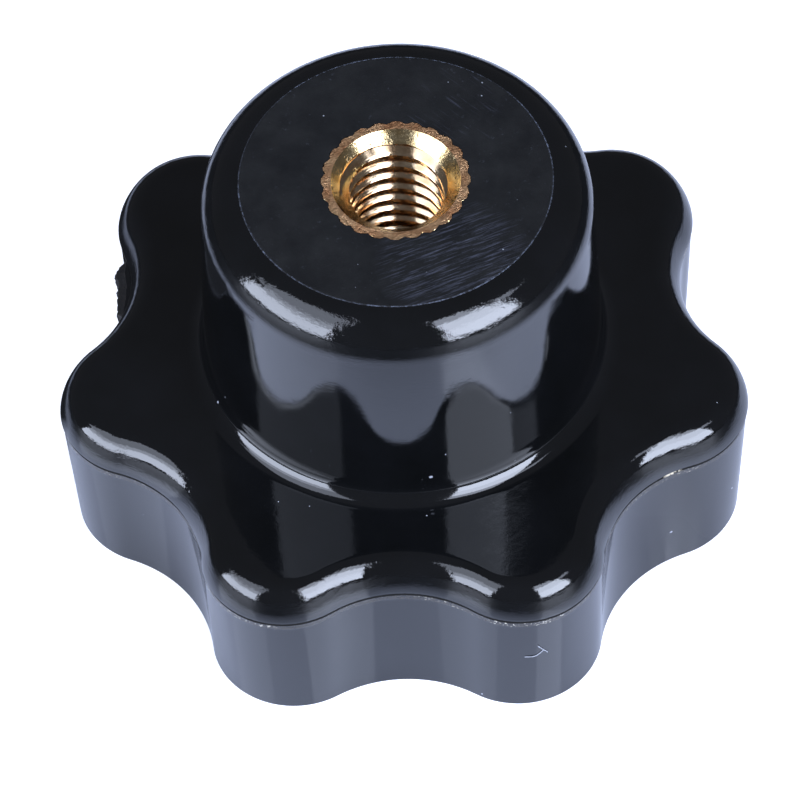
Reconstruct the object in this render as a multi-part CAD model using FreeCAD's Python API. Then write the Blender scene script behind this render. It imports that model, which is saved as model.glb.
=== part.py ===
# Seven-lobed star knob for an M5 screw: a moulded phenolic grip with a knurled brass bush in its hub.
# Millimetres. The origin is the middle of the flat grip face, on the axis of the screw, and +Z points
# out of the hub. One lobe points along +Y.

import FreeCAD, Part
import math
import os
from FreeCAD import Vector

# The lobed grip
LOBES = 7
GRIP_RADIUS = 16.0  # axis to the tip of a lobe
LOBE_RADIUS = 3.8  # rounding of a lobe, seen from above
VALLEY_DEPTH = 2.82  # tip of a lobe to the bottom of a finger valley, measured along the radius
SEAM_HEIGHT = 7.2  # grip face to the line where the two mould halves meet
LOBE_DRAFT = 0.45  # how far a lobe draws in from the seam down to the grip face
VALLEY_DRAFT = 0.2  # the same in a valley
SEAM_STEP = 0.05  # the lower mould half is this much smaller at the seam
UPPER_HEIGHT = 1.65  # the seam to the flat top of the grip
UPPER_DRAFT_ANGLE = 12.0  # how far the wall above the seam leans in, in degrees
EDGE_ROUND = 1.1  # rounding of the upper edge of the grip

# The hub
KNOB_HEIGHT = 20.4  # grip face to the ground face of the hub
HUB_RADIUS_ROOT = 9.12  # hub wall where it would meet the top of the grip
HUB_RADIUS_TOP = 8.72  # hub wall at the height of the ground face
HUB_ROOT_FILLET = 0.8  # rounding between hub and grip
HUB_TOP_ROUND = 1.9  # rounding of the top edge of the hub
GROUND_FACE_RADIUS = 7.02  # the face that was ground flat with the bush after moulding

# The stub of the gate through which the grip was filled, broken off in one valley
GATE_VALLEY = 2  # counted from the first valley past the lobe on +Y, against the clock
GATE_SHIFT = -1.35  # middle of the stub from the middle of its valley, along the wall
GATE_WIDTH = 3.7
GATE_HEIGHT = 2.8
GATE_PROUD = 0.75  # wall to the middle of the break, which falls off towards one side
GATE_PEAK = 0.35  # how far the torn corner stands above the rest of the break

# The brass bush
BUSH_LENGTH = 15.0
KNURL_TEETH = 24
KNURL_TIP_RADIUS = 3.37
KNURL_DEPTH = 0.14
KNURL_CREST = 0.3  # width of the blunt crest of a tooth
ANCHOR_GROOVE_DEPTH = 0.45  # below the tips of the knurl
ANCHOR_GROOVE_WIDTH = 2.0
ANCHOR_GROOVE_TOP = 6.5  # end face of the bush to the upper side of the groove
BORE_RADIUS = 2.1  # tapping size of M5 x 0.8
THREAD_DEPTH = 12.0  # end face of the bush to the end of the full bore
DRILL_POINT_ANGLE = 118.0
MOUTH_RADIUS = 2.9  # outer edge of the chamfer at the mouth of the thread
MOUTH_CHAMFER_ANGLE = 90.0

UP = Vector(0, 0, 1)
AXIS_BASE = Vector(0, 0, 0)
OVERLAP = 0.5  # how far solids that are fused reach into each other
FIRST_LOBE_ANGLE = 90.0


def polar(radius, degrees, z=0.0):
    angle = math.radians(degrees)
    return Vector(radius * math.cos(angle), radius * math.sin(angle), z)


def arc(start, middle, end):
    return Part.Arc(start, middle, end).toShape()


def line(start, end):
    return Part.LineSegment(start, end).toShape()


def star_outline(tip, lobe_radius, valley, z):
    """The outline of the grip: outward lobe arcs and inward valley arcs that touch smoothly."""
    half_pitch = 180.0 / LOBES
    lobe_centre_distance = tip - lobe_radius
    across = math.cos(math.radians(half_pitch)) * lobe_centre_distance
    valley_radius = (lobe_radius**2 - lobe_centre_distance**2 - valley**2 + 2 * across * valley) / (
        2 * (valley - across - lobe_radius)
    )
    lobe_share = lobe_radius / (lobe_radius + valley_radius)
    edges = []
    for lobe in range(LOBES):
        angle = FIRST_LOBE_ANGLE + lobe * 2 * half_pitch
        centre = polar(lobe_centre_distance, angle, z)
        valley_before = polar(valley + valley_radius, angle - half_pitch, z)
        valley_after = polar(valley + valley_radius, angle + half_pitch, z)
        next_centre = polar(lobe_centre_distance, angle + 2 * half_pitch, z)
        start = centre + (valley_before - centre) * lobe_share
        end = centre + (valley_after - centre) * lobe_share
        next_start = next_centre + (valley_after - next_centre) * lobe_share
        edges.append(arc(start, polar(tip, angle, z), end))
        edges.append(arc(end, polar(valley, angle + half_pitch, z), next_start))
    return Part.Wire(edges)


def rounded_profile(corners):
    """A closed profile in the XZ plane from (radius, height, rounding) corners."""
    count = len(corners)
    points = [Vector(radius, 0, height) for radius, height, _ in corners]
    starts = []
    ends = []
    middles = []
    for i, point in enumerate(points):
        rounding = corners[i][2]
        before = (points[i - 1] - point).normalize()
        after = (points[(i + 1) % count] - point).normalize()
        half_turn = before.getAngle(after) / 2
        reach = rounding / math.tan(half_turn) if rounding else 0.0
        starts.append(point + before * reach)
        ends.append(point + after * reach)
        if rounding:
            bisector = (before + after).normalize()
            middles.append(point + bisector * (rounding / math.sin(half_turn) - rounding))
        else:
            middles.append(None)
    edges = []
    for i in range(count):
        if middles[i]:
            edges.append(arc(starts[i], middles[i], ends[i]))
        following = (i + 1) % count
        if ends[i].distanceToPoint(starts[following]) > 1e-6:
            edges.append(line(ends[i], starts[following]))
    return Part.Face(Part.Wire(edges))


def turned(corners):
    return rounded_profile(corners).revolve(AXIS_BASE, UP, 360)


def grip_top_height():
    return SEAM_HEIGHT + UPPER_HEIGHT


def valley_distance():
    return GRIP_RADIUS - VALLEY_DEPTH


def lobed_grip():
    """The drafted lower wall and the leaning, round-edged upper part, which meet at the mould seam."""
    valley = valley_distance()
    foot = star_outline(GRIP_RADIUS - LOBE_DRAFT, LOBE_RADIUS, valley - VALLEY_DRAFT, 0.0)
    seam = star_outline(GRIP_RADIUS - SEAM_STEP, LOBE_RADIUS - SEAM_STEP, valley - SEAM_STEP, SEAM_HEIGHT)
    lower = Part.makeLoft([foot, seam], True, True)
    widest = star_outline(GRIP_RADIUS, LOBE_RADIUS, valley, SEAM_HEIGHT)
    lean = UPPER_HEIGHT * math.tan(math.radians(UPPER_DRAFT_ANGLE))
    top = star_outline(GRIP_RADIUS - lean, LOBE_RADIUS - lean, valley - lean, grip_top_height())
    upper = Part.makeLoft([widest, top], True, True)
    top_edges = [edge for edge in upper.Edges if edge.BoundBox.ZMin > grip_top_height() - 1e-6]
    upper = upper.makeFillet(EDGE_ROUND, top_edges)
    return lower.fuse(upper)


def hub():
    """The slightly tapered hub, with its root fillet and the rounding that the ground face cuts off."""
    top = grip_top_height()
    taper = (HUB_RADIUS_ROOT - HUB_RADIUS_TOP) / (KNOB_HEIGHT - top)
    # The rounding ended in a slightly higher flat before the face was ground back to the bush.
    crown_centre_radius = HUB_RADIUS_TOP - HUB_TOP_ROUND
    crown_reach = GROUND_FACE_RADIUS - crown_centre_radius
    ground_off = HUB_TOP_ROUND - math.sqrt(HUB_TOP_ROUND**2 - crown_reach**2)
    crown = KNOB_HEIGHT + ground_off
    flange = HUB_RADIUS_ROOT + HUB_ROOT_FILLET + OVERLAP
    solid = turned(
        [
            (0.0, top - OVERLAP, 0.0),
            (flange, top - OVERLAP, 0.0),
            (flange, top, 0.0),
            (HUB_RADIUS_ROOT, top, HUB_ROOT_FILLET),
            (HUB_RADIUS_TOP - taper * ground_off, crown, HUB_TOP_ROUND),
            (0.0, crown, 0.0),
        ]
    )
    grinding = Part.makeCylinder(GRIP_RADIUS, OVERLAP + ground_off, Vector(0, 0, KNOB_HEIGHT))
    return solid.cut(grinding)


def gate_stub():
    """The torn stub of the gate, just under the seam: a lug with an uneven break and one high corner."""
    root = valley_distance() - VALLEY_DRAFT - OVERLAP
    face = valley_distance() + GATE_PROUD
    half = GATE_WIDTH / 2
    break_line = [
        (-half, root),
        (-0.85 * half, face - 0.1 * GATE_PROUD),
        (-0.45 * half, face + GATE_PEAK),
        (-0.1 * half, face),
        (0.6 * half, face - 0.35 * GATE_PROUD),
        (0.9 * half, face - 0.6 * GATE_PROUD),
        (half, root),
    ]
    top = SEAM_HEIGHT - SEAM_STEP
    turn = FIRST_LOBE_ANGLE + (GATE_VALLEY - 0.5) * 360.0 / LOBES
    corners = [Vector(out, along + GATE_SHIFT, top) for along, out in break_line]
    outline = Part.makePolygon(corners + corners[:1])
    stub = Part.Face(outline).extrude(UP * -GATE_HEIGHT)
    stub.rotate(AXIS_BASE, UP, turn)
    return stub


def knurled_bar():
    """A bar with blunt knurl teeth that meet in sharp grooves."""
    pitch = 360.0 / KNURL_TEETH
    half_crest = math.degrees(KNURL_CREST / 2 / KNURL_TIP_RADIUS)
    groove = KNURL_TIP_RADIUS - KNURL_DEPTH
    base = KNOB_HEIGHT - BUSH_LENGTH
    corners = []
    for tooth in range(KNURL_TEETH):
        angle = tooth * pitch
        corners.append(polar(groove, angle - pitch / 2, base))
        corners.append(polar(KNURL_TIP_RADIUS, angle - half_crest, base))
        corners.append(polar(KNURL_TIP_RADIUS, angle + half_crest, base))
    return Part.Face(Part.makePolygon(corners + corners[:1])).extrude(UP * BUSH_LENGTH)


def bush_outside():
    """The outer form of the bush, without its bore. The moulding has a pocket of this same form."""
    outer = KNURL_TIP_RADIUS + OVERLAP
    groove_radius = KNURL_TIP_RADIUS - ANCHOR_GROOVE_DEPTH
    groove_top = KNOB_HEIGHT - ANCHOR_GROOVE_TOP
    groove_ring = turned(
        [
            (groove_radius, groove_top - ANCHOR_GROOVE_WIDTH, 0.0),
            (outer, groove_top - ANCHOR_GROOVE_WIDTH, 0.0),
            (outer, groove_top, 0.0),
            (groove_radius, groove_top, 0.0),
        ]
    )
    return knurled_bar().cut(groove_ring)


def threaded_hole():
    """The blind tapped hole: chamfered mouth, full bore and drill point."""
    chamfer_depth = (MOUTH_RADIUS - BORE_RADIUS) / math.tan(math.radians(MOUTH_CHAMFER_ANGLE / 2))
    bore_end = KNOB_HEIGHT - THREAD_DEPTH
    point_depth = BORE_RADIUS / math.tan(math.radians(DRILL_POINT_ANGLE / 2))
    return turned(
        [
            (0.0, bore_end - point_depth, 0.0),
            (BORE_RADIUS, bore_end, 0.0),
            (BORE_RADIUS, KNOB_HEIGHT - chamfer_depth, 0.0),
            (MOUTH_RADIUS, KNOB_HEIGHT, 0.0),
            (MOUTH_RADIUS, KNOB_HEIGHT + OVERLAP, 0.0),
            (0.0, KNOB_HEIGHT + OVERLAP, 0.0),
        ]
    )


def moulded_grip():
    body = lobed_grip().fuse(hub()).fuse(gate_stub())
    return body.removeSplitter().cut(bush_outside())


def threaded_bush():
    return bush_outside().cut(threaded_hole())


def main():
    os.makedirs("parts", exist_ok=True)
    for name, shape in (("moulded_grip", moulded_grip()), ("threaded_bush", threaded_bush())):
        solids = shape.Solids
        print(name, len(solids), "solid,", round(shape.Volume, 2), "mm3, valid", shape.isValid())
        solids[0].exportStep("parts/" + name + ".step")


main()
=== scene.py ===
# Looks of the seven-lobed star knob: a glossy black phenolic moulding with a ground hub face, the torn
# stub of its gate and its brass bush with a real thread. Sizes are in millimetres until MM turns them.

import bmesh
import bpy
import math
from mathutils import Matrix, Vector, noise


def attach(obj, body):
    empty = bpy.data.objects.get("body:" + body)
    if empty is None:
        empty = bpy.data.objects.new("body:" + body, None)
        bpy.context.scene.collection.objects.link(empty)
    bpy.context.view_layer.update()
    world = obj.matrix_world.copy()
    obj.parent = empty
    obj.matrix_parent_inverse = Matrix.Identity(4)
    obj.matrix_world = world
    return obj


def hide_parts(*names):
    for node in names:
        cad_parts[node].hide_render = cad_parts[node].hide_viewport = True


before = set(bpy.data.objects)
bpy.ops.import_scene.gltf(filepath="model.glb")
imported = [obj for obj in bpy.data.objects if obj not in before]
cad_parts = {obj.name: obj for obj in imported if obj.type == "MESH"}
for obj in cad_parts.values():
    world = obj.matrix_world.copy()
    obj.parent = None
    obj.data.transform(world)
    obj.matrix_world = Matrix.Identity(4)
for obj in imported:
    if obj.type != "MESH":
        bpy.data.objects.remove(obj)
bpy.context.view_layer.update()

MM = 0.001

# The lobed grip
LOBES = 7
HALF_PITCH = 180.0 / LOBES
FIRST_LOBE_ANGLE = 90.0
GRIP_RADIUS = 16.0
LOBE_RADIUS = 3.8
VALLEY = 13.18
SEAM_HEIGHT = 7.2
LOBE_DRAFT = 0.45
VALLEY_DRAFT = 0.2
SEAM_STEP = 0.05
GRIP_TOP = 8.85
FOOT_BREAK = 0.08  # height and width of the broken lower edge
FOOT_BREAK_MIDDLE = 0.025
# The upper edge from the seam to the flat top: length along the curve and how far it leans there, in degrees
EDGE_CURVE = ((0.0, 6.0), (0.61, 20.5), (1.11, 28.7), (1.64, 56.4), (2.285, 90.0))
EDGE_STEPS = 160

# The band where the flash was trimmed off: its lower edge, then height and share of how far it stands proud
FLASH_FOOT = 6.7
FLASH_ROWS = ((FLASH_FOOT + 0.06, 0.8), (6.83, 0.5), (6.91, 1.0), (6.99, 0.5))
FLASH_PROUD = 0.016
CRUMB_PLACE = (12.2, -6.61, 7.08)  # where a pale crumb of flash is left in the seam

# The hub
KNOB_HEIGHT = 20.4
HUB_RADIUS_ROOT = 9.12
HUB_RADIUS_TOP = 8.72
HUB_TAPER = (HUB_RADIUS_ROOT - HUB_RADIUS_TOP) / (KNOB_HEIGHT - GRIP_TOP)
HUB_LEAN = math.atan(HUB_TAPER)
HUB_ROOT_FILLET = 0.8
FILLET_CENTRE = HUB_RADIUS_ROOT + HUB_ROOT_FILLET * (1 / math.cos(HUB_LEAN) - HUB_TAPER)
FILLET_STEPS = 12
HUB_TOP_ROUND = 1.9
GROUND_OFF = 0.0105  # how much of the rounding the grinding took away
CROWN_END_ANGLE = 85.0
CROWN_STEPS = 18
CROWN_SAG = 0.025  # how much lower its end lies, so that it meets the chipped rim
GROUND_FACE_RADIUS = 7.0
RIM_OUT = 0.024  # outer edge of the chipped rim, from the radius of the ground face
RIM_IN = -0.03  # the same for its inner edge
RIM_DEPTH = 0.014

# The torn stub of the gate
GATE_ANGLE = FIRST_LOBE_ANGLE + 3 * HALF_PITCH
GATE_SHIFT = -1.35
GATE_WIDTH = 3.7
GATE_TOP = 7.02
GATE_FOOT = 4.35
GATE_FACE = VALLEY + 0.75
# Along the stub, in shares of half its width, and how far the break stands above the face there
GATE_BREAK = ((-0.85, -0.075), (-0.45, 0.35), (-0.1, 0.0), (0.6, -0.26), (0.9, -0.45))
GATE_ROUGHNESS = 0.09
GATE_BEHIND = 11.5  # faces nearer to the axis than this aren't the outer wall

# The brass bush
KNURL_TEETH = 24
KNURL_TIP = 3.37
KNURL_DEPTH = 0.14
KNURL_CREST = 0.3
KNURL_WEAR = 0.03
KNURL_UNEVEN = 0.018
BURR_HEIGHT = 0.04
BURR_LEAST = 0.006
BURR_MOST = 0.09
BUSH_FOOT = 5.4
GROOVE_RADIUS = 2.92
GROOVE_FOOT = 11.9
GROOVE_TOP = 13.9
MOUTH_RADIUS = 2.9
BORE_RADIUS = 2.1
BORE_END = 8.4
DRILL_POINT = 1.26
HAIRLINE = 0.008  # gap between the bush and the moulding around it

# Its thread
THREAD_ROOT = 2.5
THREAD_PITCH = 0.8
THREAD_FLAT = 0.125  # width of the flat root, in pitches
THREAD_MARGIN = 0.1  # end of the bore to the lowest row of the thread
RUN_OUT = 1.2
THREAD_STEPS = 168
ROWS_PER_PITCH = 16

# Larger grains of dust on the skin: place and size
DUST = (
    ((1.34, -8.97, 10.27), 0.1),
    ((6.89, -6.32, 8.85), 0.07),
    ((-8.36, -3.9, 9.2), 0.07),
    ((12.12, -6.53, 2.31), 0.09),
    ((14.95, -4.46, 2.82), 0.08),
    ((-2.29, -8.83, 9.05), 0.04),
    ((-5.55, -9.22, 8.85), 0.035),
    ((-4.15, -9.49, 8.85), 0.03),
    ((0.42, -9.55, 8.85), 0.05),
    ((1.12, -10.08, 8.85), 0.04),
    ((2.04, -8.79, 11.73), 0.04),
    ((14.24, -3.99, 8.85), 0.04),
    ((3.43, -14.01, 0.32), 0.06),
)

# A fibre of lint with a side branch, stuck to the front wall
LINT = (
    (
        (5.42, -14.58, 4.16),
        (5.64, -14.57, 4.14),
        (5.89, -14.53, 4.13),
        (6.04, -14.5, 4.25),
        (6.16, -14.48, 4.39),
        (6.27, -14.46, 4.54),
        (6.36, -14.42, 4.41),
        (6.44, -14.39, 4.25),
    ),
    ((6.03, -14.55, 4.97), (6.15, -14.51, 4.74), (6.27, -14.46, 4.54)),
)
LINT_RADIUS = 0.026

# Heights over which the grain of the mould comes in and goes out again on the rounded skin
EDGE_GRAIN_IN = (7.4, 7.9)
EDGE_GRAIN_OUT = (8.76, 8.84)
CROWN_GRAIN_IN = (18.2, 18.8)

# Where the ground face is scratched most: place and size
SCRATCHED_FRONT = ((2.6, -4.6, KNOB_HEIGHT), 3.6)
SCRATCHED_BACK = ((2.6, 4.4, KNOB_HEIGHT), 3.0)

PHENOLIC_IOR = 1.6
SHARP_ANGLE = 28.0  # edges that turn by more than this are sharp, in degrees
COLUMNS = 504  # 72 to a lobe and 21 to a knurl tooth
GLOSS, GROUND, TORN, TRIMMED, SEAM, RIM = 0, 1, 2, 3, 4, 5
END_FACE, CHAMFER, THREAD = 0, 1, 2

# The camera: place, aim, roll in degrees and focal length
CAMERA_PLACE = (9.194, -203.015, 281.915)
CAMERA_AIM = (-0.150, -3.026, 8.0)
CAMERA_ROLL = 2.84
CAMERA_LENS = 335.67

# Panels: the way each faces, its two sides and its foot and top as directions in degrees, and its brightness
SOFTBOXES = (
    ("right_softbox_lower", -33.0, -66.0, -27.0, 9.0, 37.0, 9.5),
    ("right_softbox_middle", -33.0, -66.0, -27.0, 37.0, 57.0, 8.2),
    ("right_softbox_upper", -33.0, -66.0, -27.0, 57.0, 68.0, 3.6),
    ("right_softbox_side", -33.0, -27.0, -10.0, 49.0, 58.0, 2.3),
    ("left_softbox_lower", -150.0, -125.0, -173.0, 4.0, 32.0, 6.8),
    ("left_softbox_middle", -150.0, -125.0, -173.0, 32.0, 44.0, 3.5),
    ("left_softbox_upper", -150.0, -125.0, -180.0, 44.0, 67.0, 1.8),
)
SOFTBOX_DISTANCE = 0.6  # metres
EYE_HEIGHT = 0.012  # metres above the floor, from where the elevations are measured
WATTS = 4.0  # light of a panel per area and brightness


# Nodes


def colour(code):
    """A linear colour from an sRGB hex value."""
    parts = [int(code[i : i + 2], 16) / 255 for i in (1, 3, 5)]
    return tuple(p / 12.92 if p <= 0.04045 else ((p + 0.055) / 1.055) ** 2.4 for p in parts) + (1.0,)


def add(tree, kind, settings=(), values=(), links=()):
    """Adds a node with its settings, the values of its sockets and what feeds them."""
    node = tree.nodes.new(kind)
    for name, value in dict(settings).items():
        setattr(node, name, value)
    for socket, value in dict(values).items():
        node.inputs[socket].default_value = value
    for socket, source in dict(links).items():
        tree.links.new(source, node.inputs[socket])
    return node


def new_material(name):
    material = bpy.data.materials.new(name)
    material.use_nodes = True
    material.node_tree.nodes.clear()
    return material, material.node_tree


def finish_material(tree, values, links):
    """Ends the tree in a principled shader with these values and links."""
    shader = add(tree, "ShaderNodeBsdfPrincipled", (), values, links)
    add(tree, "ShaderNodeOutputMaterial", (), (), {"Surface": shader.outputs[0]})


def millimetres(tree, turn=0.0, stretch=(1.0, 1.0, 1.0)):
    """Object coordinates in millimetres, turned about the axis and stretched."""
    place = add(tree, "ShaderNodeTexCoord")
    scale = tuple(s / MM for s in stretch)
    turned = add(
        tree,
        "ShaderNodeMapping",
        {"vector_type": "TEXTURE"},
        {"Rotation": (0.0, 0.0, math.radians(turn))},
        {"Vector": place.outputs["Object"]},
    )
    return add(tree, "ShaderNodeMapping", (), {"Scale": scale}, {"Vector": turned.outputs[0]}).outputs[0]


def noise_of(tree, vector, size, detail=2.0, roughness=0.5):
    values = {"Scale": 1.0 / size, "Detail": detail, "Roughness": roughness}
    return add(tree, "ShaderNodeTexNoise", (), values, {"Vector": vector}).outputs["Fac"]


def between(tree, source, low, high, to_low=0.0, to_high=1.0):
    """The source spread from low..high to to_low..to_high, held at both ends."""
    values = {"From Min": low, "From Max": high, "To Min": to_low, "To Max": to_high}
    return add(tree, "ShaderNodeMapRange", {"clamp": True}, values, {"Value": source}).outputs[0]


def calculated(tree, kind, first, second):
    """One step of arithmetic with sockets or plain numbers."""
    node = add(tree, "ShaderNodeMath", {"operation": kind})
    for socket, value in enumerate((first, second)):
        if isinstance(value, float):
            node.inputs[socket].default_value = value
        else:
            tree.links.new(value, node.inputs[socket])
    return node.outputs[0]


def product(tree, first, second):
    return calculated(tree, "MULTIPLY", first, second)


def mixed(tree, share, first, second):
    """A mix of two colours, each a hex value or a socket."""
    node = add(tree, "ShaderNodeMix", {"data_type": "RGBA"}, (), {"Factor": share})
    for socket, value in ((6, first), (7, second)):
        if isinstance(value, str):
            node.inputs[socket].default_value = colour(value)
        else:
            tree.links.new(value, node.inputs[socket])
    return node.outputs[2]


def bumped(tree, height, depth, strength=1.0):
    """A normal with relief of the given depth, in millimetres."""
    values = {"Strength": strength, "Distance": depth * MM}
    return add(tree, "ShaderNodeBump", (), values, {"Height": height}).outputs[0]


def dust(tree, vector, spacing, size, share):
    """Specks: one in each cell of the given spacing, but only in a share of the cells."""
    cells = add(tree, "ShaderNodeTexVoronoi", (), {"Scale": 1.0 / spacing}, {"Vector": vector})
    near = between(tree, cells.outputs["Distance"], size / spacing, 0.6 * size / spacing)
    pick = add(tree, "ShaderNodeSeparateColor", (), (), {"Color": cells.outputs["Color"]}).outputs[0]
    return product(tree, near, between(tree, pick, 1.0 - share, 1.0 - share + 0.01))


def mark(tree, vector, point, size):
    """A soft round mark about a point."""
    away = add(tree, "ShaderNodeVectorMath", {"operation": "DISTANCE"}, {1: point}, {0: vector})
    return between(tree, away.outputs["Value"], size, 0.6 * size)


# Materials


def polished_phenolic():
    """Black phenolic, moulded in a polished tool: nearly a mirror, with grain where it is rounded."""
    material, tree = new_material("polished_black_phenolic")
    place = millimetres(tree)
    haze = noise_of(tree, place, 2.6, 3.0)
    grain = noise_of(tree, millimetres(tree, 0.0, (0.5, 0.5, 1.4)), 0.16, 3.0, 0.6)
    patches = between(tree, noise_of(tree, place, 1.3, 2.0), 0.42, 0.62, 0.4, 1.0)
    height = add(tree, "ShaderNodeSeparateXYZ", (), (), {"Vector": place}).outputs["Z"]
    edge = between(tree, height, *EDGE_GRAIN_IN)
    rounded = calculated(tree, "SUBTRACT", edge, between(tree, height, *EDGE_GRAIN_OUT))
    rounded = calculated(tree, "ADD", rounded, between(tree, height, *CROWN_GRAIN_IN))
    depth = product(tree, patches, between(tree, rounded, 0.0, 1.0, 0.2, 1.0))
    specks = dust(tree, place, 1.3, 0.045, 0.2)
    for point, size in DUST:
        specks = calculated(tree, "MAXIMUM", specks, mark(tree, place, point, size))
    shade = mixed(tree, between(tree, haze, 0.3, 0.7), "#08090a", "#0c0d0f")
    shade = mixed(tree, specks, shade, "#9ea2ad")
    rough = between(tree, haze, 0.3, 0.75, 0.035, 0.085)
    rough = calculated(tree, "ADD", rough, between(tree, specks, 0.0, 1.0, 0.0, 0.6))
    bump = bumped(tree, product(tree, grain, depth), 0.014)
    values = {"IOR": PHENOLIC_IOR, "Specular IOR Level": 0.6}
    finish_material(tree, values, {"Base Color": shade, "Roughness": rough, "Normal": bump})
    return material


def ground_phenolic():
    """Phenolic ground flat with the bush: the skin is gone, so it is a dull dark grey with fine scratches."""
    material, tree = new_material("ground_black_phenolic")
    place = millimetres(tree)
    cloud = noise_of(tree, place, 1.6, 5.0, 0.6)
    strokes = noise_of(tree, millimetres(tree, 24.0, (0.3, 4.4, 1.0)), 0.36, 5.0, 0.7)
    arcs = noise_of(tree, millimetres(tree, -42.0, (0.2, 4.0, 1.0)), 0.4, 4.0, 0.65)
    broken = between(tree, noise_of(tree, place, 0.9, 2.0), 0.4, 0.6)
    front = product(tree, mark(tree, place, *SCRATCHED_FRONT), between(tree, strokes, 0.5, 0.72))
    back = product(tree, mark(tree, place, *SCRATCHED_BACK), broken)
    back = product(tree, back, between(tree, arcs, 0.56, 0.78))
    scratches = calculated(tree, "ADD", front, product(tree, back, 0.55))
    nicks = product(tree, broken, between(tree, noise_of(tree, place, 0.22, 3.0, 0.7), 0.62, 0.8))
    specks = dust(tree, place, 0.8, 0.045, 0.3)
    shade = mixed(tree, between(tree, cloud, 0.3, 0.7), "#0f1012", "#161718")
    shade = mixed(tree, scratches, shade, "#484b58")
    shade = mixed(tree, nicks, shade, "#33363c")
    shade = mixed(tree, specks, shade, "#8c9099")
    rough = between(tree, cloud, 0.3, 0.7, 0.42, 0.54)
    bump = bumped(tree, strokes, 0.006, 0.6)
    values = {"IOR": PHENOLIC_IOR, "Specular IOR Level": 0.4}
    finish_material(tree, values, {"Base Color": shade, "Roughness": rough, "Normal": bump})
    return material


def torn_phenolic():
    """Phenolic broken off at the gate: the filler shows brown, and nothing on it shines."""
    material, tree = new_material("torn_black_phenolic")
    crumbs = noise_of(tree, millimetres(tree), 0.25, 5.0, 0.7)
    shade = mixed(tree, between(tree, crumbs, 0.45, 0.75), "#0d0d0f", "#2b2420")
    values = {"IOR": PHENOLIC_IOR, "Roughness": 0.55}
    finish_material(tree, values, {"Base Color": shade, "Normal": bumped(tree, crumbs, 0.05)})
    return material


def trimmed_phenolic():
    """Phenolic where the flash of the seam was scraped off: duller than the skin, with crumbs left on it."""
    material, tree = new_material("trimmed_black_phenolic")
    place = millimetres(tree)
    grain = noise_of(tree, place, 0.2, 4.0, 0.65)
    where = between(tree, noise_of(tree, place, 2.6, 2.0), 0.44, 0.58)
    crumbs = product(tree, where, between(tree, noise_of(tree, place, 0.11, 2.0), 0.58, 0.66))
    shade = mixed(tree, between(tree, grain, 0.35, 0.65), "#14120f", "#332e26")
    shade = mixed(tree, crumbs, shade, "#b9b4a6")
    rough = between(tree, grain, 0.35, 0.65, 0.2, 0.42)
    values = {"IOR": PHENOLIC_IOR, "Specular IOR Level": 0.65}
    links = {"Base Color": shade, "Roughness": rough, "Normal": bumped(tree, grain, 0.012)}
    finish_material(tree, values, links)
    return material


def seam_painted_shade():
    """The inside of the open seam, where the mould halves met: rough phenolic a shade darker than the skin
    and barely reflecting, as painted shade in the groove. A pale crumb of flash sits in it.
    """
    material, tree = new_material("black_phenolic_seam_painted_shade")
    place = millimetres(tree)
    grain = noise_of(tree, place, 0.3, 3.0)
    # Near-black, dull painted shade for the groove; the pale crumb mixed in below is real.
    shade = mixed(tree, between(tree, grain, 0.4, 0.6), "#060607", "#0b0b0c")
    crumb = product(tree, mark(tree, place, CRUMB_PLACE, 0.5), between(tree, grain, 0.4, 0.55))
    shade = mixed(tree, crumb, shade, "#dcd2bc")
    values = {"IOR": PHENOLIC_IOR, "Specular IOR Level": 0.2, "Roughness": 0.7}
    finish_material(tree, values, {"Base Color": shade})
    return material


def rim_painted_highlight():
    """The rim of the ground face: a pale blue-grey broken line, a painted highlight of its edge."""
    material, tree = new_material("black_phenolic_rim_painted_highlight")
    place = millimetres(tree)
    painted_highlight_spots = between(tree, noise_of(tree, place, 0.16, 3.0, 0.7), 0.42, 0.68)
    where = between(tree, noise_of(tree, place, 4.0, 2.0), 0.38, 0.62, 0.12, 1.0)
    # Pale blue-grey painted highlight along the edge, broken up by noise.
    shade = mixed(tree, product(tree, painted_highlight_spots, where), "#15161a", "#70788a")
    values = {"IOR": PHENOLIC_IOR, "Specular IOR Level": 0.5, "Roughness": 0.5}
    finish_material(tree, values, {"Base Color": shade})
    return material


def lint():
    """A cotton fibre: matt and pale."""
    material, tree = new_material("cotton_lint")
    shade = mixed(tree, noise_of(tree, millimetres(tree), 0.2), "#7f828c", "#b2b5be")
    finish_material(tree, {"Roughness": 0.85, "Specular IOR Level": 0.2}, {"Base Color": shade})
    return material


def brass(name, light, dark, rough_range, depth, pitted, turn=0.0, stretch=(1.0, 1.0, 1.0)):
    """Free-cutting brass. The marks of the cut run along the stretched direction, and pits hold dirt."""
    material, tree = new_material(name)
    place = millimetres(tree)
    marks = noise_of(tree, millimetres(tree, turn, stretch), 0.12, 4.0, 0.6)
    cloud = noise_of(tree, place, 0.7, 3.0)
    where = between(tree, noise_of(tree, place, 1.1, 2.0), 0.6 - pitted, 0.7 - pitted)
    pits = between(tree, noise_of(tree, place, 0.13, 3.0, 0.7), 0.64 - pitted, 0.74 - pitted)
    pits = product(tree, pits, where)
    shade = mixed(tree, between(tree, cloud, 0.3, 0.7), light, dark)
    shade = mixed(tree, pits, shade, "#6b4a30")
    rough = between(tree, marks, 0.3, 0.7, *rough_range)
    relief = calculated(tree, "SUBTRACT", marks, product(tree, pits, 0.8))
    links = {"Base Color": shade, "Roughness": rough, "Normal": bumped(tree, relief, depth, 0.6)}
    finish_material(tree, {"Metallic": 1.0}, links)
    return material


# Outlines: each gives the distance from the axis at an angle


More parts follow.
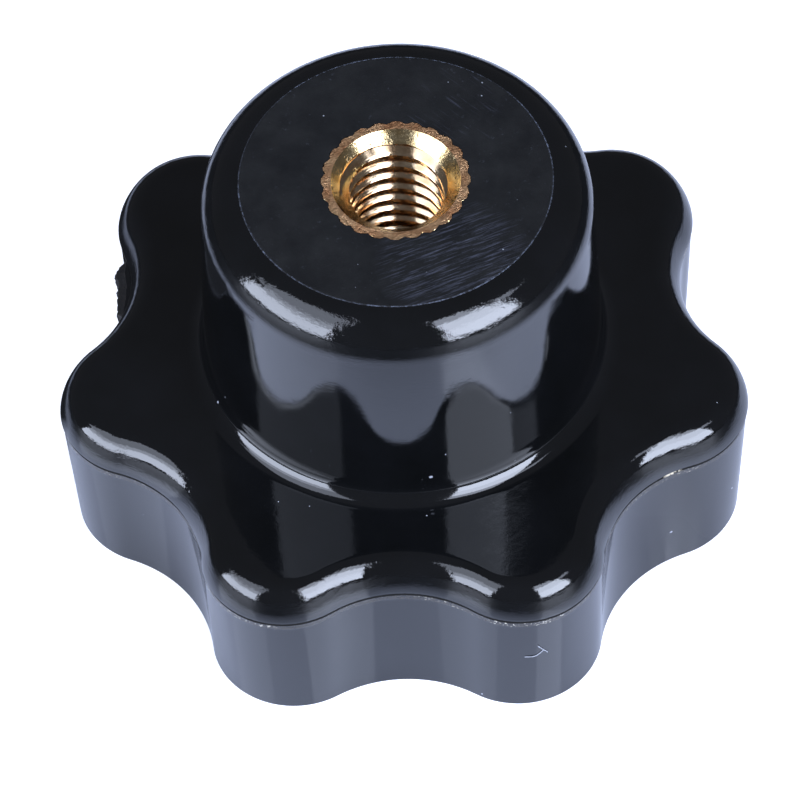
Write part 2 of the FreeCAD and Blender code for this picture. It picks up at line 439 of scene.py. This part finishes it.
def lobed(angle, tip, lobe_radius, valley, inset=0.0):
    """Outward lobe arcs and inward valley arcs that touch smoothly, moved in by the inset."""
    half_pitch = math.radians(HALF_PITCH)
    lobe_distance = tip - lobe_radius
    across = math.cos(half_pitch) * lobe_distance
    valley_radius = (lobe_radius**2 - lobe_distance**2 - valley**2 + 2 * across * valley) / (
        2 * (valley - across - lobe_radius)
    )
    valley_distance = valley + valley_radius
    lobe_radius -= inset
    valley_radius += inset
    lobe_centre = Vector((lobe_distance, 0.0))
    valley_centre = Vector((valley_distance * math.cos(half_pitch), valley_distance * math.sin(half_pitch)))
    touch = lobe_centre + (valley_centre - lobe_centre).normalized() * lobe_radius
    from_lobe = math.radians(abs((angle - FIRST_LOBE_ANGLE + HALF_PITCH) % (2 * HALF_PITCH) - HALF_PITCH))
    if from_lobe < math.atan2(touch.y, touch.x):
        side = lobe_distance * math.sin(from_lobe)
        return lobe_distance * math.cos(from_lobe) + math.sqrt(lobe_radius**2 - side**2)
    from_valley = half_pitch - from_lobe
    side = valley_distance * math.sin(from_valley)
    return valley_distance * math.cos(from_valley) - math.sqrt(valley_radius**2 - side**2)


def lower_wall(z, inset=0.0):
    """The drafted wall below the seam."""
    share = z / SEAM_HEIGHT

    def radius(angle):
        foot = lobed(angle, GRIP_RADIUS - LOBE_DRAFT, LOBE_RADIUS, VALLEY - VALLEY_DRAFT, inset)
        seam = lobed(angle, GRIP_RADIUS - SEAM_STEP, LOBE_RADIUS - SEAM_STEP, VALLEY - SEAM_STEP, inset)
        return foot + (seam - foot) * share

    return radius


def flash_line(z, proud):
    """The wall at the trimmed flash, which stands a little proud and isn't quite even."""
    wall = lower_wall(z)

    def radius(angle):
        uneven = noise.noise(Vector((angle * 0.2, z * 9.0, 1.0)))
        return wall(angle) + proud * max(0.0, 0.3 + 1.2 * uneven)

    return radius


def upper_outline(inset):
    return lambda angle: lobed(angle, GRIP_RADIUS, LOBE_RADIUS, VALLEY, inset)


def plate_between(share):
    """A loop on the flat top of the grip, part of the way from its rounded edge to the hub."""
    edge = upper_outline(edge_curve()[-1][0])
    return lambda angle: edge(angle) * (1 - share) + FILLET_CENTRE * share


def circle(radius):
    return lambda angle: radius


def chipped(offset):
    """A line along the rim of the ground face, left slightly ragged."""

    def radius(angle):
        return GROUND_FACE_RADIUS + offset + 0.012 * noise.noise(Vector((angle * 0.9, 2.0, 0.0)))

    return radius


def knurl(clearance=0.0):
    """The knurled outline of the bush. Some teeth are worn, and the resin has filled the places."""
    half_pitch = 180.0 / KNURL_TEETH
    half_crest = math.degrees(KNURL_CREST / 2 / KNURL_TIP)

    def radius(angle):
        tooth = round(angle / (2 * half_pitch)) % KNURL_TEETH
        from_tooth = abs((angle + half_pitch) % (2 * half_pitch) - half_pitch)
        rise = min(1.0, (half_pitch - from_tooth) / (half_pitch - half_crest))
        worn = noise.noise(Vector((tooth * 3.7, 0.3, 0.7)))
        tip = KNURL_TIP - KNURL_WEAR - KNURL_WEAR * worn
        uneven = KNURL_UNEVEN * noise.noise(Vector((angle * 0.55, 4.1, 0.0)))
        return tip - KNURL_DEPTH * (1.0 - rise) + uneven - clearance

    return radius


def burred(outline):
    """The top edge of the knurl, broken by the grinding in some places and sharp in others."""

    def radius(angle):
        broken = max(0.0, noise.noise(Vector((angle * 0.3, 7.0, 0.0))))
        return outline(angle) - BURR_LEAST - BURR_MOST * broken

    return radius


# Loops of points that are extruded from one to the next


def put(radius, z, column):
    angle = FIRST_LOBE_ANGLE + 360.0 * column / COLUMNS
    distance = radius(angle) * MM
    turn = math.radians(angle)
    return Vector((distance * math.cos(turn), distance * math.sin(turn), z * MM))


def first_loop(bm, radius, z):
    columns = bm.verts.layers.int.new("column")
    made = bmesh.ops.create_circle(bm, cap_ends=False, segments=COLUMNS, radius=1.0)
    for vert in made["verts"]:
        angle = math.degrees(math.atan2(vert.co.y, vert.co.x))
        vert[columns] = round((angle - FIRST_LOBE_ANGLE) / 360.0 * COLUMNS) % COLUMNS
        vert.co = put(radius, z, vert[columns])
    return list(bm.edges)


def extruded(bm, loop, finish):
    """Extrudes a loop: its new points, and the edges between them."""
    made = bmesh.ops.extrude_edge_only(bm, edges=loop)["geom"]
    fresh = {item for item in made if isinstance(item, bmesh.types.BMVert)}
    for item in made:
        if isinstance(item, bmesh.types.BMFace):
            item.material_index = finish
    edges = [item for item in made if isinstance(item, bmesh.types.BMEdge)]
    return fresh, [edge for edge in edges if edge.verts[0] in fresh and edge.verts[1] in fresh]


def next_loop(bm, loop, radius, z, finish):
    """Extrudes a loop and puts the new one at the given outline and height."""
    columns = bm.verts.layers.int["column"]
    fresh, edges = extruded(bm, loop, finish)
    for vert in fresh:
        vert.co = put(radius, z, vert[columns])
    return edges


def close_loop(bm, loop, finish):
    """Caps a loop with one flat face."""
    made = bmesh.ops.contextual_create(bm, geom=loop)
    for face in made["faces"]:
        face.material_index = finish


def finish_piece(bm, name, node, materials, sharp_angle=SHARP_ANGLE):
    """Turns the mesh into a piece that stands for its CAD node, if it has one."""
    bmesh.ops.recalc_face_normals(bm, faces=list(bm.faces))
    for face in bm.faces:
        face.smooth = True
    for edge in bm.edges:
        edge.smooth = edge.is_manifold and edge.calc_face_angle(0.0) < math.radians(sharp_angle)
    mesh = bpy.data.meshes.new(name)
    bm.to_mesh(mesh)
    bm.free()
    for material in materials:
        mesh.materials.append(material)
    piece = bpy.data.objects.new(name, mesh)
    bpy.context.scene.collection.objects.link(piece)
    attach(piece, "root")
    if node:
        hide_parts(node)


# The moulding


def value_at(place, line):
    """The height of a line of (place, height) points at a place."""
    if place <= line[0][0]:
        return line[0][1]
    for (start, low), (end, high) in zip(line, line[1:]):
        if place <= end:
            return low + (high - low) * (place - start) / (end - start)
    return line[-1][1]


def edge_curve():
    """Inset and height of the loops over the upper edge: the curve is followed in short steps."""
    points = [(0.0, 0.0)]
    length = EDGE_CURVE[-1][0] / EDGE_STEPS
    for step in range(EDGE_STEPS):
        along = EDGE_CURVE[-1][0] * (step + 0.5) / EDGE_STEPS
        turn = math.radians(value_at(along, EDGE_CURVE))
        inset, rise = points[-1]
        points.append((inset + length * math.sin(turn), rise + length * math.cos(turn)))
    stretch = (GRIP_TOP - SEAM_HEIGHT) / points[-1][1]
    kept = points[5:40:5] + points[40::4]
    return [(inset * stretch, SEAM_HEIGHT + rise * stretch) for inset, rise in kept]


def grip_loops():
    """Outline, height and finish of the loops from the foot up to the hub: the seam is a narrow groove."""
    loops = [(lower_wall(0.0, FOOT_BREAK), 0.0, GLOSS)]
    loops.append((lower_wall(0.0, FOOT_BREAK_MIDDLE), FOOT_BREAK_MIDDLE, GLOSS))
    heights = [FOOT_BREAK, 0.12, 0.6, 1.2, 1.8, 2.4, 3.0, 3.6, 4.0, 4.2]
    heights += [GATE_FOOT - 0.05 + 0.12 * i for i in range(20)]  # closer together where the gate stub will be
    loops += [(lower_wall(z), z, GLOSS) for z in heights]
    loops.append((flash_line(FLASH_FOOT, 0.0), FLASH_FOOT, GLOSS))
    loops += [(flash_line(z, share * FLASH_PROUD), z, TRIMMED) for z, share in FLASH_ROWS]
    loops.append((lower_wall(7.09, 0.13), 7.09, SEAM))
    for z, inset, finish in ((7.16, 0.16, SEAM), (7.185, 0.03, SEAM), (7.21, 0.006, GLOSS)):
        loops.append((upper_outline(inset), z, finish))
    loops += [(upper_outline(inset), z, GLOSS) for inset, z in edge_curve()]
    loops += [(plate_between(share), GRIP_TOP, GLOSS) for share in (0.02, 0.35, 0.7, 0.985)]
    return loops


def hub_loops():
    """The same for the root fillet, the wall and the rounded crown."""
    loops = []
    for step in range(FILLET_STEPS + 1):
        turn = -math.radians(90.0) - (math.radians(90.0) - HUB_LEAN) * step / FILLET_STEPS
        out = FILLET_CENTRE + HUB_ROOT_FILLET * math.cos(turn)
        loops.append((circle(out), GRIP_TOP + HUB_ROOT_FILLET * (1 + math.sin(turn)), GLOSS))
    crown_height = KNOB_HEIGHT - HUB_TOP_ROUND + GROUND_OFF
    wall_there = HUB_RADIUS_ROOT - HUB_TAPER * (crown_height - GRIP_TOP)
    crown_centre = wall_there - HUB_TOP_ROUND / math.cos(HUB_LEAN)
    wall_foot = GRIP_TOP + HUB_ROOT_FILLET * (1 - math.sin(HUB_LEAN))
    for share in (0.02, 0.2, 0.4, 0.6, 0.8, 0.98):
        z = wall_foot + (crown_height - wall_foot) * share
        loops.append((circle(HUB_RADIUS_ROOT - HUB_TAPER * (z - GRIP_TOP)), z, GLOSS))
    last = math.radians(CROWN_END_ANGLE)
    for step in range(CROWN_STEPS + 1):
        turn = HUB_LEAN + (last - HUB_LEAN) * step / CROWN_STEPS
        out = crown_centre + HUB_TOP_ROUND * math.cos(turn)
        z = crown_height + HUB_TOP_ROUND * math.sin(turn) - CROWN_SAG * step / CROWN_STEPS
        loops.append((circle(out), z, GLOSS))
    return loops


def face_and_pocket_loops():
    """The same for the ground face and the pocket that holds the bush."""
    loops = [(chipped(RIM_OUT), KNOB_HEIGHT - RIM_DEPTH, GLOSS), (chipped(RIM_IN), KNOB_HEIGHT, RIM)]
    loops += [(circle(r), KNOB_HEIGHT, GROUND) for r in (6.9, 6.0, 5.0, 4.2)]
    loops += [(knurl(-0.06), KNOB_HEIGHT, GROUND), (knurl(), KNOB_HEIGHT, GROUND)]
    loops += [(knurl(), KNOB_HEIGHT - 0.1, GLOSS), (knurl(), GROOVE_TOP, GLOSS)]
    loops += [(circle(GROOVE_RADIUS), GROOVE_TOP, GLOSS), (circle(GROOVE_RADIUS), GROOVE_FOOT, GLOSS)]
    loops += [(knurl(), GROOVE_FOOT, GLOSS), (knurl(), BUSH_FOOT, GLOSS)]
    return loops


def along_gate(point):
    """A point as (distance from the middle of the stub along the wall, distance out)."""
    turn = math.radians(GATE_ANGLE)
    out = (point.x * math.cos(turn) + point.y * math.sin(turn)) / MM
    along = (point.y * math.cos(turn) - point.x * math.sin(turn)) / MM
    return along - GATE_SHIFT, out


def at_gate(face):
    """Whether a face of the wall lies where the stub will be."""
    middle = face.calc_center_median()
    along, out = along_gate(middle)
    level = GATE_FOOT - 0.1 < middle.z / MM < GATE_TOP + 0.02
    return level and abs(along) < GATE_WIDTH / 2 + 0.25 and out > GATE_BEHIND


def tear_gate(bm):
    """Pulls the torn stub out of the wall just under the seam."""
    half = GATE_WIDTH / 2
    edges = list(dict.fromkeys(edge for face in bm.faces if at_gate(face) for edge in face.edges))
    made = bmesh.ops.subdivide_edges(bm, edges=edges, cuts=2, use_grid_fill=True)
    faces = {item for item in made["geom"] if isinstance(item, bmesh.types.BMFace)}
    turn = math.radians(GATE_ANGLE)
    outward = Vector((math.cos(turn), math.sin(turn), 0.0))
    lifted = set()
    for vert in {vert for face in faces for vert in face.verts}:
        along, out = along_gate(vert.co)
        z = vert.co.z / MM
        rough = noise.fractal(vert.co / MM * 2.2, 0.7, 2.0, 5)
        reach = half + 0.05 * rough
        if abs(along) >= reach:
            continue
        side = min(1.0, (reach - abs(along)) / (0.15 * half))
        foot = min(1.0, max(0.0, (z - GATE_FOOT + 0.05 * rough) / 0.18))
        top = min(1.0, max(0.0, (GATE_TOP - z) / 0.08))
        share = side * foot * top
        target = GATE_FACE + value_at(along / half, GATE_BREAK) + GATE_ROUGHNESS * rough
        if share > 0.0 and target > out:
            vert.co += outward * (target - out) * share * MM
            lifted.add(vert)
    for face in faces:
        if all(vert in lifted for vert in face.verts):
            face.material_index = TORN


def knob_moulding():
    bm = bmesh.new()
    loops = grip_loops() + hub_loops() + face_and_pocket_loops()
    loop = first_loop(bm, *loops[0][:2])
    close_loop(bm, loop, GLOSS)
    for radius, z, finish in loops[1:]:
        loop = next_loop(bm, loop, radius, z, finish)
    close_loop(bm, loop, GLOSS)
    tear_gate(bm)
    materials = [polished_phenolic(), ground_phenolic(), torn_phenolic()]
    materials += [trimmed_phenolic(), seam_painted_shade(), rim_painted_highlight()]
    finish_piece(bm, "knob_moulding", "moulded_grip", materials)


# The bush


def bush_outside(bm):
    """The knurled outside of the bush, from its buried end up to the ring around the mouth."""
    tight = knurl(HAIRLINE)
    loop = first_loop(bm, tight, BUSH_FOOT)
    close_loop(bm, loop, END_FACE)
    anchor = circle(GROOVE_RADIUS - HAIRLINE)
    rows = [(tight, GROOVE_FOOT), (anchor, GROOVE_FOOT), (anchor, GROOVE_TOP), (tight, GROOVE_TOP)]
    for radius, z in rows + [(tight, KNOB_HEIGHT - BURR_HEIGHT)]:
        loop = next_loop(bm, loop, radius, z, END_FACE)
    loop = next_loop(bm, loop, burred(tight), KNOB_HEIGHT, CHAMFER)
    for radius in (3.08, MOUTH_RADIUS + 0.02):
        loop = next_loop(bm, loop, circle(radius), KNOB_HEIGHT, END_FACE)


def add_outside(bm):
    """Builds the outside on its own, brings it into the mesh and gives the edges around the mouth."""
    outside = bmesh.new()
    bush_outside(outside)
    shell = bpy.data.meshes.new("bush_outside")
    outside.to_mesh(shell)
    outside.free()
    before = set(bm.edges)
    bm.from_mesh(shell)
    bpy.data.meshes.remove(shell)
    return [edge for edge in bm.edges if edge not in before and edge.is_boundary]


def thread_radius(phase):
    """Distance of the 60 degree thread from the axis: blunt root, flank, blunt crest at the tapping size."""
    flank = (THREAD_ROOT - BORE_RADIUS) * math.tan(math.radians(30)) / THREAD_PITCH
    from_root = abs((phase + 0.5) % 1.0 - 0.5)
    if from_root < THREAD_FLAT / 2:
        return THREAD_ROOT
    return max(BORE_RADIUS, THREAD_ROOT - (THREAD_ROOT - BORE_RADIUS) * (from_root - THREAD_FLAT / 2) / flank)


def spin_thread(bm):
    """A line of points along the bore, spun about the axis with the pitch as its rise, and cut to length."""
    low = BORE_END - THREAD_PITCH
    rows = round((KNOB_HEIGHT + 2 * THREAD_PITCH - low) / THREAD_PITCH) * ROWS_PER_PITCH
    verts = []
    for row in range(rows + 1):
        z = low + THREAD_PITCH * row / ROWS_PER_PITCH
        verts.append(bm.verts.new(Vector((thread_radius(row / ROWS_PER_PITCH), 0.0, z)) * MM))
    line = [bm.edges.new(pair) for pair in zip(verts, verts[1:])]
    bmesh.ops.spin(
        bm,
        geom=verts + line,
        cent=(0, 0, 0),
        axis=(0, 0, 1),
        dvec=(0, 0, THREAD_PITCH * MM / THREAD_STEPS),
        angle=math.radians(360),
        steps=THREAD_STEPS,
        use_merge=False,
    )
    bmesh.ops.remove_doubles(bm, verts=bm.verts, dist=0.002 * MM)
    for height, above in ((KNOB_HEIGHT, True), (BORE_END + THREAD_MARGIN, False)):
        bmesh.ops.bisect_plane(
            bm,
            geom=list(bm.verts) + list(bm.edges) + list(bm.faces),
            dist=0.0005 * MM,
            plane_co=(0, 0, height * MM),
            plane_no=(0, 0, 1),
            clear_outer=above,
            clear_inner=not above,
        )


def cone_at(z):
    """Radius of the chamfer of the mouth at a height."""
    return MOUTH_RADIUS - (KNOB_HEIGHT - z)


def tapped_bore(bm):
    """The thread, which runs out towards the end of the bore, and the chamfer that opens its mouth."""
    spin_thread(bm)
    for vert in bm.verts:
        z = vert.co.z / MM
        here = math.hypot(vert.co.x, vert.co.y)
        depth = min(1.0, max(0.0, (z - BORE_END - THREAD_MARGIN) / RUN_OUT))
        thread = BORE_RADIUS + (here / MM - BORE_RADIUS) * depth
        wanted = max(thread, cone_at(z))
        vert.co.x *= wanted * MM / here
        vert.co.y *= wanted * MM / here
    for face in bm.faces:
        middle = face.calc_center_median()
        on_cone = math.hypot(middle.x, middle.y) / MM < cone_at(middle.z / MM) + 0.01
        face.material_index = CHAMFER if on_cone else THREAD


def drill_point(bm):
    """Closes the bore with the cone that the drill leaves."""
    low = (BORE_END + 2 * THREAD_MARGIN) * MM
    loop = [edge for edge in bm.edges if edge.is_boundary and edge.verts[0].co.z < low]
    for share, z in ((1.0, BORE_END), (0.0, BORE_END - DRILL_POINT)):
        fresh, loop = extruded(bm, loop, THREAD)
        for vert in fresh:
            vert.co = Vector((vert.co.x * share, vert.co.y * share, z * MM))
    bmesh.ops.remove_doubles(bm, verts=bm.verts, dist=0.0002 * MM)


def brass_bush():
    bm = bmesh.new()
    tapped_bore(bm)
    drill_point(bm)
    mouth = [edge for edge in bm.edges if edge.is_boundary]
    ring = add_outside(bm)
    made = bmesh.ops.triangle_fill(bm, use_beauty=True, edges=mouth + ring, normal=(0, 0, 1))
    for item in made["geom"]:
        if isinstance(item, bmesh.types.BMFace):
            item.material_index = END_FACE
    materials = [
        brass("ground_brass", "#ffd2a0", "#d69a6c", (0.28, 0.6), 0.08, 0.11, 22.0, (0.7, 1.3, 1.0)),
        brass("turned_brass", "#f2dcac", "#d4b074", (0.1, 0.22), 0.014, 0.09),
        brass("tapped_brass", "#f6dcb6", "#dab48a", (0.08, 0.17), 0.0015, 0.0),
    ]
    finish_piece(bm, "brass_bush", "threaded_bush", materials)


def lint_fibre():
    """The lint on the wall, as thin tubes along its two strands."""
    curve = bpy.data.curves.new("lint", "CURVE")
    curve.dimensions = "3D"
    curve.bevel_depth = LINT_RADIUS * MM
    curve.bevel_resolution = 1
    curve.use_fill_caps = True
    for strand in LINT:
        spline = curve.splines.new("NURBS")
        spline.points.add(len(strand) - 1)
        for point, place in zip(spline.points, strand):
            out = Vector((place[0], place[1], 0.0)).normalized() * LINT_RADIUS
            point.co = ((Vector(place) + out) * MM).to_4d()
        spline.order_u = 3
        spline.use_endpoint_u = True
    holder = bpy.data.objects.new("lint", curve)
    tubes = bpy.data.meshes.new_from_object(holder)
    bpy.data.objects.remove(holder)
    bm = bmesh.new()
    bm.from_mesh(tubes)
    bpy.data.meshes.remove(tubes)
    bmesh.ops.remove_doubles(bm, verts=bm.verts, dist=0.0005 * MM)
    finish_piece(bm, "lint_fibre", None, [lint()], 60.0)


# The camera, the floor and the lights


def place_camera():
    """The photograph's view: from the front, 54 degrees up, a long lens, slightly rolled."""
    position = Vector(CAMERA_PLACE) * MM
    aim = Vector(CAMERA_AIM) * MM
    forward = (aim - position).normalized()
    across = forward.cross(Vector((0, 0, 1))).normalized()
    over = across.cross(forward)
    roll = math.radians(CAMERA_ROLL)
    right = across * math.cos(roll) - over * math.sin(roll)
    up = over * math.cos(roll) + across * math.sin(roll)
    data = bpy.data.cameras.new("camera")
    data.lens = CAMERA_LENS
    data.sensor_width = 36.0
    data.clip_start = 0.01
    data.clip_end = 20.0
    camera = bpy.data.objects.new("camera", data)
    bpy.context.scene.collection.objects.link(camera)
    turn = Matrix((right, up, -forward)).transposed().to_4x4()
    camera.matrix_world = Matrix.Translation(position) @ turn
    bpy.context.scene.camera = camera


def softbox(name, facing, near, far, low, high, brightness):
    """Part of an upright panel that faces the knob: between two directions and two elevations."""
    sides = [SOFTBOX_DISTANCE * math.tan(math.radians(side - facing)) for side in (near, far)]
    foot, top = [SOFTBOX_DISTANCE * math.tan(math.radians(elevation)) for elevation in (low, high)]
    data = bpy.data.lights.new(name, "AREA")
    data.shape = "RECTANGLE"
    data.size = abs(sides[1] - sides[0])
    data.size_y = top - foot
    data.energy = brightness * data.size * data.size_y * WATTS
    data.color = colour("#dfe9ff")[:3]
    lamp = bpy.data.objects.new(name, data)
    bpy.context.scene.collection.objects.link(lamp)
    turn = math.radians(facing)
    outward = Vector((math.cos(turn), math.sin(turn), 0.0))
    along = Vector((-math.sin(turn), math.cos(turn), 0.0))
    raised = Vector((0.0, 0.0, (foot + top) / 2 + EYE_HEIGHT))
    lamp.rotation_mode = "QUATERNION"
    lamp.rotation_quaternion = (-outward).to_track_quat("-Z", "Y")
    lamp.location = outward * SOFTBOX_DISTANCE + along * sum(sides) / 2 + raised
    lamp.visible_camera = False


def white_sheet():
    """Glossy white near the knob, darker beyond it, with a painted shadow of the knob behind its left side,
    and duller at the right.

    Its sides carry a painted glow that only reflections see, so the knob mirrors its flanks brighter than its
    middle. The camera sees white, and the knob's shadow stays.
    """
    material, tree = new_material("glossy_white_sheet")
    place = millimetres(tree, 0.0, (1.25, 1.0, 1.0))
    away = add(tree, "ShaderNodeVectorMath", {"operation": "DISTANCE"}, {1: (0.0, 20.0, 0.0)}, {0: place})
    length = add(tree, "ShaderNodeVectorMath", {"operation": "LENGTH"}, (), {0: place})
    parts = add(tree, "ShaderNodeSeparateXYZ", (), (), {"Vector": place})
    across = parts.outputs["X"]
    sheet_edge_and_painted_shadow = between(tree, away.outputs["Value"], 41.0, 60.0)
    # Painted shadow of the knob on the floor behind its left side, dark only in reflections.
    left = between(tree, across, -13.0, -17.0)
    rear = between(tree, parts.outputs["Y"], -1.0, 2.0)
    painted_shadow_behind = product(tree, rear, between(tree, length.outputs["Value"], 42.0, 33.0))
    sheet_edge_and_painted_shadow = calculated(tree, "MAXIMUM", sheet_edge_and_painted_shadow, product(tree, painted_shadow_behind, left))
    rays = add(tree, "ShaderNodeLightPath")
    seen = rays.outputs["Is Camera Ray"]
    dark = product(tree, sheet_edge_and_painted_shadow, calculated(tree, "SUBTRACT", 1.0, seen))
    sheet = mixed(tree, dark, "#e6ebfa", "#1a1b1f")
    matt = calculated(tree, "MAXIMUM", sheet_edge_and_painted_shadow, between(tree, across, 15.5, 20.0))
    # Painted glow on the floor's sides, tinted blue and seen only by glossy rays, up to 0.17.
    painted_glow_flanks = between(tree, product(tree, across, across), 10.0, 190.0)
    painted_glow = calculated(tree, "SUBTRACT", painted_glow_flanks, sheet_edge_and_painted_shadow)
    painted_glow_in_reflections = product(tree, rays.outputs["Is Glossy Ray"], painted_glow)
    rough = between(tree, matt, 0.0, 1.0, 0.07, 0.5)
    values = {"IOR": 1.5, "Specular IOR Level": 1.0}
    shader = add(tree, "ShaderNodeBsdfPrincipled", (), values, {"Base Color": sheet, "Roughness": rough})
    white = product(tree, seen, 0.72)
    strength = calculated(tree, "ADD", white, between(tree, painted_glow_in_reflections, 0.0, 1.0, 0.0, 0.17))
    tint = mixed(tree, seen, "#ccd6f8", "#ffffff")
    glow = add(tree, "ShaderNodeEmission", (), (), {"Color": tint, "Strength": strength})
    both = add(tree, "ShaderNodeAddShader", (), (), {0: shader.outputs[0], 1: glow.outputs[0]})
    add(tree, "ShaderNodeOutputMaterial", (), (), {"Surface": both.outputs[0]})
    return material


def pale_floor():
    """A round floor 3 m in radius, a hair below the knob."""
    bm = bmesh.new()
    bmesh.ops.create_circle(bm, cap_ends=True, segments=128, radius=3.0)
    bmesh.ops.translate(bm, verts=bm.verts, vec=(0, 0, -0.01 * MM))
    mesh = bpy.data.meshes.new("floor")
    bm.to_mesh(mesh)
    bm.free()
    mesh.materials.append(white_sheet())
    floor = bpy.data.objects.new("floor", mesh)
    bpy.context.scene.collection.objects.link(floor)


def dark_studio():
    """A dim room. The camera sees white past the edge of the floor."""
    world = bpy.data.worlds.new("studio")
    bpy.context.scene.world = world
    world.use_nodes = True
    tree = world.node_tree
    tree.nodes.clear()
    seen = add(tree, "ShaderNodeLightPath").outputs["Is Camera Ray"]
    shade = mixed(tree, seen, "#525358", "#ffffff")
    background = add(tree, "ShaderNodeBackground", (), {"Strength": 1.0}, {"Color": shade})
    add(tree, "ShaderNodeOutputWorld", (), (), {"Surface": background.outputs[0]})


place_camera()
dark_studio()
pale_floor()
for panel in SOFTBOXES:
    softbox(*panel)
knob_moulding()
brass_bush()
lint_fibre()

bpy.context.scene.view_settings.view_transform = "Standard"
